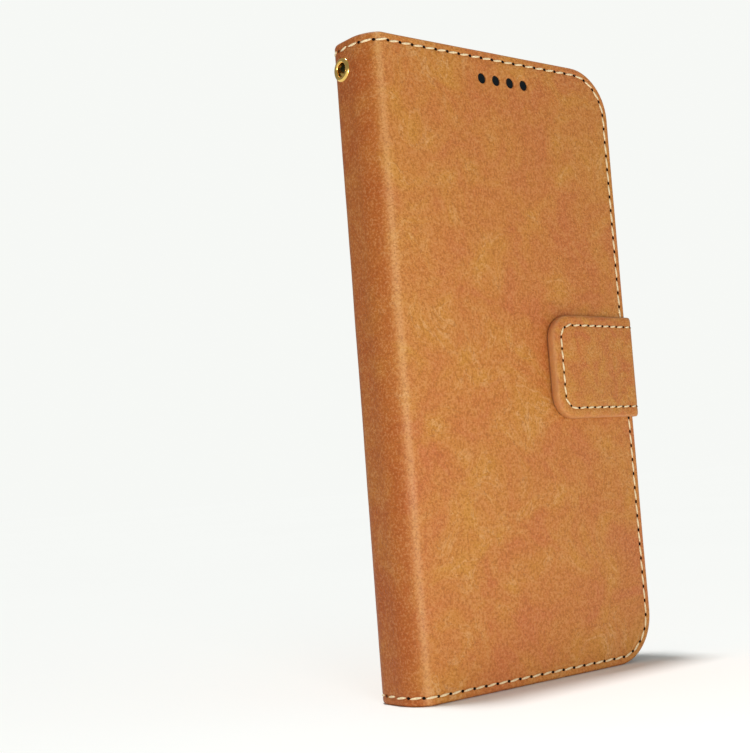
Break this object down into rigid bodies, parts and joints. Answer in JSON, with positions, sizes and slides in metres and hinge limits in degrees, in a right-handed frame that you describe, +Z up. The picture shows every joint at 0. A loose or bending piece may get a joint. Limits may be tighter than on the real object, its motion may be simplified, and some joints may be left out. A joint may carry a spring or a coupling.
{
  "type": "phone wallet case",
  "caption": "Upright folding phone wallet case: leather cover with stitched edges, card pockets, soft phone tray, camera window, spine eyelet and magnetic closing strap.",
  "frame": {"origin": "centre of the bounding box in X and Y, at the bottom edge the case stands on", "axes": "+Z up along the phone, +X from the spine to the free edge, +Y from the front cover to the back cover"},
  "size_m": [0.0885, 0.0206, 0.167],
  "materials": {
    "outer_leather": "tan grained leather, satin",
    "inner_leather": "smooth tan lining leather, matte",
    "board": "fibre board and foam, hidden",
    "thread": "cream thread",
    "tray_rubber": "dark blue soft rubber, matte",
    "gold_brass": "polished",
    "magnet_steel": "plain, hidden"
  },
  "bodies": {
    "back": {"back_skin": "outer_leather", "back_board": "board", "back_lining": "inner_leather", "back_seam_thread": "thread", "strap_anchor": "outer_leather", "phone_tray": "tray_rubber", "mute_switch_guard": "tray_rubber"},
    "spine": {"spine_skin": "outer_leather", "spine_lining": "inner_leather", "spine_seam_thread": "thread", "eyelet": "gold_brass", "eyelet_washer": "gold_brass"},
    "front": {"front_skin": "outer_leather", "front_board": "board", "front_lining": "inner_leather", "front_seam_thread": "thread", "clasp_plate": "magnet_steel", "cash_sleeve": "inner_leather", "card_pocket_1": "inner_leather", "card_pocket_2": "inner_leather", "card_pocket_3": "inner_leather", "pocket_seam_thread": "thread"},
    "strap_band": {"strap_band_skin": "outer_leather", "strap_band_lining": "inner_leather", "strap_band_thread": "thread"},
    "strap_tab": {"strap_tab_skin": "outer_leather", "strap_tab_padding": "board", "strap_tab_lining": "inner_leather", "strap_tab_thread": "thread", "strap_magnet": "magnet_steel"},
    "power_button": {"power_button_pad": "tray_rubber"},
    "volume_up": {"volume_up_pad": "tray_rubber"},
    "volume_down": {"volume_down_pad": "tray_rubber"}
  },
  "joints": [
    {"name": "spine_fold", "type": "hinge", "parent": "back", "child": "spine", "pos_m": [-0.0436, 0.01, 0.0835], "axis": [0, 0, -1], "range_deg": [0, 175]},
    {"name": "cover_fold", "type": "hinge", "parent": "spine", "child": "front", "pos_m": [-0.0436, -0.007, 0.0835], "axis": [0, 0, -1], "range_deg": [0, 175]},
    {"name": "strap_root", "type": "hinge", "parent": "back", "child": "strap_band", "pos_m": [0.0424, 0.0077, 0.082], "axis": [0, 0, 1], "range_deg": [0, 90]},
    {"name": "strap_fold", "type": "hinge", "parent": "strap_band", "child": "strap_tab", "pos_m": [0.0442, -0.0104, 0.082], "axis": [0, 0, 1], "range_deg": [0, 90]},
    {"name": "power_press", "type": "slide", "parent": "back", "child": "power_button", "axis": [-1, 0, 0], "range_m": [0, 0.0004], "stiffness_N_per_m": 900},
    {"name": "volume_up_press", "type": "slide", "parent": "back", "child": "volume_up", "axis": [1, 0, 0], "range_m": [0, 0.0004], "stiffness_N_per_m": 900},
    {"name": "volume_down_press", "type": "slide", "parent": "back", "child": "volume_down", "axis": [1, 0, 0], "range_m": [0, 0.0004], "stiffness_N_per_m": 900}
  ]
}
